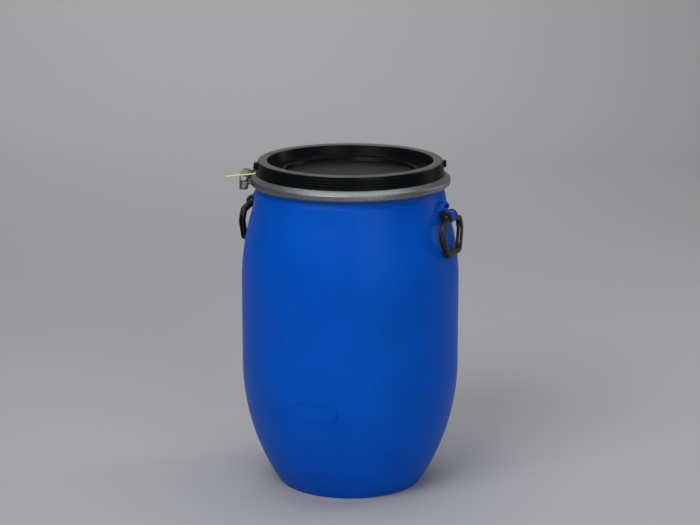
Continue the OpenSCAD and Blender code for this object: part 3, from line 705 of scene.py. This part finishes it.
def lid_section(s):
    """The lid's closed section: ribbed outer wall and rim, recess, step ring and panel, and its underside."""
    flange_low, flange_edge, flange_top, flange_r = s.flange_low, s.flange_edge, s.flange_top, s.flange
    rise = LID_TOP - flange_top
    z = LID_TOP - 0.005 - (np.arange(s.ribs) + 0.5) * s.rib_pitch

    def wall(height):
        """Radius of the outer wall: it goes straight from the rim to the foot as the height falls."""
        return s.rim + (s.foot - s.rim) * (LID_TOP - height) / rise

    d = s.rib_pitch * 0.5
    ribs = np.stack([np.stack([wall(z + k * d) + out * s.rib_height, z + k * d], -1)
                     for k, out in ((0.62, 0), (0.34, 1), (-0.34, 1), (-0.62, 0))], 1).reshape(-1, 2)
    skirt, skirt_low = s.skirt, float(LID_LO[2])
    panel = s.ledge_z - s.panel_drop
    inner_step, outer_step = s.step - s.step_width / 2, s.step + s.step_width / 2
    points = np.concatenate([
        [(0, panel), (inner_step - 0.003, panel), (inner_step, s.ledge_z + s.step_height),
         (outer_step - 0.001, s.ledge_z + s.step_height), (outer_step + 0.001, s.ledge_z),
         (s.recess, s.ledge_z), (s.rim_inner, LID_TOP), (s.rim, LID_TOP)],
        ribs,
        [(s.foot, flange_top), (flange_r, flange_edge), (flange_r, flange_low),
         (s.rim - s.wall, flange_low), (s.rim - s.wall, LID_TOP - s.wall), (skirt, LID_TOP - s.wall),
         (skirt, skirt_low), (skirt - 0.0025, skirt_low), (skirt - 0.0025, LID_TOP - s.wall),
         (s.rim_inner + 0.0027, LID_TOP - s.wall), (s.recess + s.wall, s.ledge_z - s.wall),
         (inner_step, s.ledge_z - s.wall), (inner_step - 0.003, panel - s.wall), (0, panel - s.wall)]])
    radii = np.concatenate([
        [0, 0.0025, 0.0012, 0.0012, 0.001, 0.003, 0.0016, 0.0016],
        np.full(len(ribs), 0.0006),
        [0.0015, 0.0008, 0.0006, 0.0006, 0.001, 0.001, 0.001, 0.001, 0.001, 0.001, 0.002, 0.001, 0.002, 0]])
    return fillet(points, radii, steps=6)


def lid_ear(s):
    """A rounded lifting ear on the lid's rim."""
    reach = s.rim + s.ear_out
    outline = fillet([(s.rim - 0.002, -s.ear_width / 2), (reach - 0.003, -s.ear_width / 2 + 0.001),
                      (reach, -s.ear_width / 4), (reach, s.ear_width / 4),
                      (reach - 0.003, s.ear_width / 2 - 0.001), (s.rim - 0.002, s.ear_width / 2)],
                     (0, 0.006, 0.006, 0.006, 0.006, 0), closed=True, steps=8)
    return slab(outline, LID_TOP - 0.004 - s.ear_height, LID_TOP - 0.004, 0.0022, upright, 6)


class DRUM_OT_lid(bpy.types.Operator):
    """Build the lid and its rubber seal"""
    bl_idname = "drum.build_lid"
    bl_label = "Lid and Seal"

    def execute(self, context):
        s = context.scene.open_drum.lid
        ears = [turned(lid_ear(s), a + math.radians(4)) for a in (0, math.pi)]

        def on_rim(centres):
            """True for the faces that other drums stand on: outside the recess and within the rim's height."""
            return (np.hypot(centres[:, 0], centres[:, 1]) > s.rim_inner - 0.0005) & (
                centres[:, 2] > LID_TOP - 0.0023)

        # The rim faces take the rim material, whose lighter base colour is painted sheen.
        lid = make("lid_shell", [lathe(lid_section(s))] + ears, MATERIALS["black"], "lid",
                   second=(MATERIALS["rim"], on_rim))
        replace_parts(lid, "lid")
        low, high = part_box("lid_gasket")
        outer = high[1]
        section = fillet([(outer - 0.009, low[2]), (outer, low[2]), (outer, high[2]), (outer - 0.009, high[2])],
                         0.0011, closed=True)
        seal = make("lid_seal", [lathe(section)], MATERIALS["rubber"], "lid")
        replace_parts(seal, "lid_gasket")
        return {"FINISHED"}


# ---------------------------------------------------------------- the clamp ring

def ring_section(s):
    """The ring's section: a bent strip with a flat web and two legs that slope inwards."""
    half = s.sheet / 2
    top, foot = RING_HI[2], RING_LO[2]
    line = fillet([(s.leg_inner + half * 0.6, top - 1.25 * half), (s.radius - half, s.web_high - 0.6 * half),
                   (s.radius - half, s.web_low + 0.6 * half), (s.leg_inner + half * 0.6, foot + 1.25 * half)],
                  s.bend, steps=8)
    return strip_section(line, s.sheet)


class DRUM_OT_ring(bpy.types.Operator):
    """Build the two halves of the clamp ring"""
    bl_idname = "drum.build_ring"
    bl_label = "Clamp Ring"

    def execute(self, context):
        s = context.scene.open_drum.ring
        section = ring_section(s)
        split_at = s.pivot_at - math.radians(4.5)
        cover = math.pi - s.split / 2 - s.flex / 2
        starts = {"front": split_at + s.split / 2, "rear": split_at + math.pi + s.flex / 2}
        for side, start in starts.items():
            band = make(f"ring_band_{side}", [lathe(section, start, cover, 180)], MATERIALS["ring"],
                        f"ring_{side}", 50.0)
            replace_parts(band, f"clamp_band_{side}")
        return {"FINISHED"}


# ---------------------------------------------------------------- the latch

def lever_channel(s):
    """The lever: a channel that opens towards the ring. Its web starts ahead of the pivot and is slotted for the
    link; its legs grow lower towards the finger end, and its back curls outwards over the last fifth."""
    low, top = float(LEVER_LO[2]), float(LEVER_HI[2])
    middle = (low + top) / 2
    half = s.lever_sheet / 2
    back, leg = s.lever_radius - half, s.radius + 0.003
    slot_low, slot_top = middle - s.slot_height / 2, middle + s.slot_height / 2
    web_from, slot_to = s.web_ahead / s.lever_radius, s.slot_end / s.lever_radius
    lower = [(leg, low + half), (back, low + half), (back, slot_low)]
    upper = [(back, slot_top), (back, top - half), (leg, top - half)]
    runs = [([(leg, low + half), (back, low + half), (back, top - half), (leg, top - half)],
             slot_to, s.lever_sweep, 55),
            (lower, web_from, slot_to + 0.002, 17), (upper, web_from, slot_to + 0.002, 17)]
    runs += [([(leg, z), (s.lever_radius, z)], 0.0, web_from + 0.002, 7) for z in (low + half, top - half)]
    parts = []
    for line, start, stop, count in runs:
        section = strip_section(fillet(line, 0.003, steps=8), s.lever_sheet)
        around = np.linspace(start, stop, count)[:, None]
        near = np.clip((around / s.lever_sweep - 0.8) / 0.2, 0, 1) ** 2
        depth = section[None, :, 0] - s.lever_radius
        radius = s.lever_radius + depth * (1 - 0.35 * near) + 0.0022 * near
        parts.append(capped(np.stack([radius * np.cos(around), radius * np.sin(around),
                                      np.broadcast_to(section[None, :, 1], radius.shape)], -1)))
    ears = [moved(slab(disc(s.lever_radius - s.pivot_out - 0.0004), z, z + s.lever_sheet, 0.0004, upright),
                  (s.pivot_out, 0, 0)) for z in (low, top - s.lever_sheet)]
    return parts + ears


def headed_pin(pin, low, high):
    """A turned pin with a low domed head on both ends, as a closed section about Z."""
    head, rise = pin / 2 + 0.0012, 0.0011
    section = fillet([(0, low), (head * 0.8, low), (head, low + 0.0005), (head, low + rise), (pin / 2, low + rise),
                      (pin / 2, high - rise), (head, high - rise), (head, high - 0.0005), (head * 0.8, high),
                      (0, high)], 0.0004, steps=4)
    return lathe(section, segments=36)


class DRUM_OT_latch(bpy.types.Operator):
    """Build the closing lever, pins and rivets, and finish the brackets, link and hasp"""
    bl_idname = "drum.build_latch"
    bl_label = "Latch"

    def execute(self, context):
        s = context.scene.open_drum.ring
        lever = make("lever_channel", [turned(part, s.pivot_at) for part in lever_channel(s)],
                     MATERIALS["latch"], "lever", 50.0)
        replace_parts(lever, "closing_lever")
        hook_at = s.pivot_at - s.hook_back / s.link_line
        spots = {"lever_pin": (s.pivot_at, s.pivot_out, 0.0, "ring_front"),
                 "link_pin": (s.pivot_at, s.link_line, s.eye_ahead, "lever"),
                 "hook_pin": (hook_at, s.link_line, 0.0, "ring_rear")}
        for node, (a, radius, ahead, body) in spots.items():
            low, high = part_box(node)
            spans = [(low[2], high[2])]
            if node == "lever_pin":
                spans = [(low[2], low[2] + s.stub), (high[2] - s.stub, high[2])]
            pins = [turned(moved(headed_pin(s.pin, *span), (radius, ahead, 0)), a) for span in spans]
            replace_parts(make(f"{node}_turned", pins, MATERIALS["pin"], body), node)
        for node in ("lever_bracket", "hook_bracket", "toggle_link", "sealing_hasp"):
            finish_node(node, MATERIALS["latch"])
        for side, at in (("front", s.pivot_at), ("rear", hook_at)):
            rivet = self.rivet_head(s)
            parts = [turned(rivet, at + k * math.radians(2.55)) for k in (-1, 1)]
            made = make(f"{side}_rivet_heads", parts, MATERIALS["pin"], f"ring_{side}")
            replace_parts(made, f"{side}_rivets")
        return {"FINISHED"}

    @staticmethod
    def rivet_head(s):
        """A low domed rivet head, turned about the radius."""
        base = s.radius + 0.0014
        section = fillet([(0, 0), (0.0018, 0), (0.0016, 0.0003), (0.0009, 0.0005), (0, 0.0005)], 0.0002, steps=4)
        points, faces = lathe(section, segments=28)
        web = (s.web_low + s.web_high) / 2
        return np.c_[points[:, 2] + base, points[:, 0], points[:, 1] + web], faces


def finish_node(name, material):
    """Gives a CAD node its material."""
    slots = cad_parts[name].data.materials
    slots.clear()
    slots.append(material)


# ---------------------------------------------------------------- the seal

class DRUM_OT_seal(bpy.types.Operator):
    """Build the pull seal's strap"""
    bl_idname = "drum.build_seal"
    bl_label = "Pull Seal"

    def execute(self, context):
        s = context.scene.open_drum.ring
        low, high = (np.array(corner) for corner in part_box("pull_seal"))
        top = float(LEVER_HI[2]) + s.strap_thick / 2
        end = math.hypot(low[0], (low[1] + high[1]) / 2) - 0.001
        line = fillet([(s.leg_inner + 0.0015, top + 0.0026), (s.radius - 0.002, top + 0.0016),
                       (s.radius + 0.006, top + 0.0003), (s.lever_radius + 0.003, top + 0.0001),
                       (s.lever_radius + 0.013, top - 0.0006), (end, top - 0.0022)],
                      (0, 0.03, 0.03, 0.04, 0.05, 0), steps=12)
        path = np.c_[line[:, 0], np.zeros(len(line)), line[:, 1]]
        half, thick = s.strap_width / 2, s.strap_thick / 2
        base = fillet([(-half, -thick), (half, -thick), (half, thick), (-half, thick)], 0.0005, closed=True, steps=4)
        along = np.linspace(0, 1, len(path))
        width = 1 - 0.25 * np.clip((along - 0.7) / 0.3, 0, 1)
        section = base[None] * np.stack([width, np.ones_like(width)], -1)[:, None]
        strap = turned(sweep(path, section, (0, 0, 1)), s.pivot_at + s.seal_ahead)
        made = make("seal_strap", [strap], MATERIALS["strap"], "lever", 50.0)
        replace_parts(made, "pull_seal")
        return {"FINISHED"}


# ---------------------------------------------------------------- the handles

def rail_section(h, slot, side):
    """One rail of the bar: the half of a rounded bar beyond the slot, on the outer (+1) or inner (-1) side."""
    wide, thick = h.bar * 0.46, h.bar / 2
    start = slot / 2 - 0.0004
    count = len(slot)
    corners = np.zeros((count, 4, 2))
    corners[:, :, 0] = (-wide, wide, wide, -wide)
    corners[:, :2, 1] = (side * start)[:, None]
    corners[:, 2:, 1] = side * thick
    t = np.linspace(0, 1, 5)[None, :, None]
    out = []
    for k in range(4):
        p, before, after = corners[:, k], corners[:, k - 1], corners[:, (k + 1) % 4]
        reach = (0.0008 if k < 2 else 0.0028)
        a = p + (before - p) / np.linalg.norm(before - p, axis=1)[:, None] * reach
        b = p + (after - p) / np.linalg.norm(after - p, axis=1)[:, None] * reach
        out.append((1 - t) ** 2 * a[:, None] + 2 * t * (1 - t) * p[:, None] + t ** 2 * b[:, None])
    return np.concatenate(out, 1)


def handle_parts(s, h):
    """A handle in its own frame: two bosses, and a bar along a rounded loop that is slotted along its arms."""
    z = h.pivot_z
    hub = s.ear_width / 2 + h.boss_gap + h.boss_width / 2
    wide_r, grip_r = h.radius + h.wide_out, h.radius + h.grip_out
    corners = [(h.radius + 0.002, hub + 0.0014, z - 0.003),
               (h.radius + 0.8 * h.wide_out, h.corner_half, z - h.corner_drop),
               (wide_r, h.loop_half, z - h.wide_drop), (grip_r, h.grip_half, z - h.grip_drop)]
    loop = np.array(corners + [(x, -y, height) for x, y, height in corners[::-1]])
    path = fillet(loop, (0, 0.009, 0.014, 0.009, 0.009, 0.014, 0.009, 0), steps=14)
    steps = np.r_[0, np.cumsum(np.linalg.norm(np.diff(path, axis=0), axis=1))]
    even = np.linspace(0, steps[-1], 161)
    path = np.stack([np.interp(even, steps, axis) for axis in path.T], -1)
    part = np.minimum(even, even[-1] - even) / even[-1]
    rise = np.clip((part - 0.15) / 0.03, 0, 1) * np.clip((0.35 - part) / 0.03, 0, 1)
    slot = h.slot * rise * rise * (3 - 2 * rise)
    rails = [sweep(path, rail_section(h, slot, side), (1, 0, 0)) for side in (-1, 1)]
    bosses = []
    for side in (-1, 1):
        middle = side * hub
        ring = disc(h.boss / 2, 56) + (h.radius, z)
        bosses.append(slab(ring, middle - h.boss_width / 2, middle + h.boss_width / 2, 0.0012, across))
    return rails + bosses


def pin_parts(s, h):
    """A handle's pin with rounded ends, along the tangent."""
    half = s.ear_width / 2 + h.boss_gap + h.boss_width + 0.0004
    return [slab(disc(h.pin / 2, 36) + (h.radius, h.pivot_z), -half, half, 0.0008, across)]


class DRUM_OT_handles(bpy.types.Operator):
    """Build the two handles and their pins"""
    bl_idname = "drum.build_handles"
    bl_label = "Handles"

    def execute(self, context):
        s, h = context.scene.open_drum.body, context.scene.open_drum.handle
        for side, a in (("right", h.at), ("left", h.at + math.pi)):
            loop = make(f"handle_loop_{side}", [turned(part, a) for part in handle_parts(s, h)],
                        MATERIALS["handle"], f"handle_{side}", 42.0)
            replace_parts(loop, f"handle_{side}")
            pin = make(f"handle_axle_{side}", [turned(part, a) for part in pin_parts(s, h)],
                       MATERIALS["pin"], "drum")
            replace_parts(pin, f"handle_pin_{side}")
        return {"FINISHED"}


# ---------------------------------------------------------------- the stage

def paper_sweep():
    """A seamless sheet: floor to y = 3.2 m, then a quarter circle of 1.2 m radius up into the wall."""
    radius, front, back, half = 1.2, -6.0, 3.2, 6.0
    t = np.linspace(0, math.pi / 2, 33)
    y = np.r_[front, np.linspace(front + 1, back, 9), back + radius * np.sin(t[1:]), back + radius]
    z = np.r_[np.zeros(10), radius - radius * np.cos(t[1:]), 6.0]
    x = np.linspace(-half, half, 13)
    points = np.stack([np.broadcast_to(x[:, None], (13, len(y))), np.broadcast_to(y, (13, len(y))),
                       np.broadcast_to(z, (13, len(y)))], -1)
    return points.reshape(-1, 3), grid_faces(13, len(y))


DRUM_MIDDLE = (0, 0, 0.35)
# name, place, aim, width and height in metres, watts
LIGHTS = (
    ("key", (-1.6, -2.6, 3.0), DRUM_MIDDLE, (2.4, 2.4), 85),
    ("overhead", (0.0, 0.3, 3.4), DRUM_MIDDLE, (3.0, 2.0), 40),
    ("wall_wash", (-0.6, 3.2, 2.6), (-0.5, 4.4, 0.1), (3.6, 0.9), 34),
    ("right_strip", (2.3, 0.9, 1.3), DRUM_MIDDLE, (0.5, 2.2), 10),
    ("front_fill", (1.5, -3.4, 1.5), DRUM_MIDDLE, (2.0, 1.6), 33),
)


def area_light(name, place, aim, size, power):
    """A soft rectangular light at a place, turned towards an aim."""
    data = bpy.data.lights.new(name, "AREA")
    data.shape = "RECTANGLE"
    data.size, data.size_y = size
    data.energy = power
    lamp = bpy.data.objects.new(name, data)
    bpy.context.scene.collection.objects.link(lamp)
    from_to = Vector(aim) - Vector(place)
    lamp.location = place
    lamp.rotation_euler = from_to.to_track_quat("-Z", "Y").to_euler()


class DRUM_OT_stage(bpy.types.Operator):
    """Build the paper sweep, the lights and the camera"""
    bl_idname = "drum.build_stage"
    bl_label = "Stage"

    def execute(self, context):
        s = context.scene.open_drum.stage
        points, faces = paper_sweep()
        mesh = bpy.data.meshes.new("paper_sweep")
        mesh.from_pydata(points.tolist(), [], faces)
        mesh.polygons.foreach_set("use_smooth", np.ones(len(mesh.polygons), bool))
        material, _, shader = blank_material("Backdrop Paper")
        shader.inputs["Base Color"].default_value = (*s.paper, 1)
        shader.inputs["Roughness"].default_value = 0.9
        shader.inputs["Specular IOR Level"].default_value = 0.15
        mesh.materials.append(material)
        sweep_object = bpy.data.objects.new("paper_sweep", mesh)
        context.scene.collection.objects.link(sweep_object)

        for name, place, aim, size, power in LIGHTS:
            area_light(name, place, aim, size, power)

        world = bpy.data.worlds.new("Room")
        world.use_nodes = True
        world.node_tree.nodes["Background"].inputs["Color"].default_value = (0.95, 0.97, 1.0, 1)
        world.node_tree.nodes["Background"].inputs["Strength"].default_value = 0.06
        context.scene.world = world

        camera = bpy.data.cameras.new("camera")
        camera.lens, camera.sensor_width = s.lens, 36
        view = bpy.data.objects.new("camera", camera)
        view.location = (-0.0004, -s.distance, s.height)
        view.rotation_euler = (math.pi / 2 - s.pitch, 0, 0)
        context.scene.collection.objects.link(view)
        context.scene.camera = view
        context.scene.view_settings.view_transform = "Standard"
        return {"FINISHED"}


# ---------------------------------------------------------------- panel and registration

STEPS = (DRUM_OT_body, DRUM_OT_lid, DRUM_OT_ring, DRUM_OT_latch, DRUM_OT_seal, DRUM_OT_handles, DRUM_OT_stage)


class DRUM_PT_panel(bpy.types.Panel):
    """The drum's building steps, in the sidebar"""
    bl_idname = "DRUM_PT_panel"
    bl_label = "Open Head Drum"
    bl_space_type = "VIEW_3D"
    bl_region_type = "UI"
    bl_category = "Drum"

    def draw(self, context):
        for step in STEPS:
            self.layout.operator(step.bl_idname)


CLASSES = (BodySizes, LidSizes, RingSizes, HandleSizes, Finishes, StageSettings, DrumSettings,
           *STEPS, DRUM_PT_panel)


def register():
    """Registers the classes and puts the settings on the scene."""
    for cls in CLASSES:
        bpy.utils.register_class(cls)
    bpy.types.Scene.open_drum = bpy.props.PointerProperty(type=DrumSettings, name="Open Head Drum",
                                                          description="Sizes and finishes of the drum")


def unregister():
    """Removes what register() added."""
    del bpy.types.Scene.open_drum
    for cls in reversed(CLASSES):
        bpy.utils.unregister_class(cls)


def main():
    """Registers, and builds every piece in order."""
    register()
    build_materials(bpy.context.scene.open_drum.finish)
    for step in STEPS:
        group, name = step.bl_idname.split(".")
        getattr(getattr(bpy.ops, group), name)()


if __name__ == "__main__":
    main()
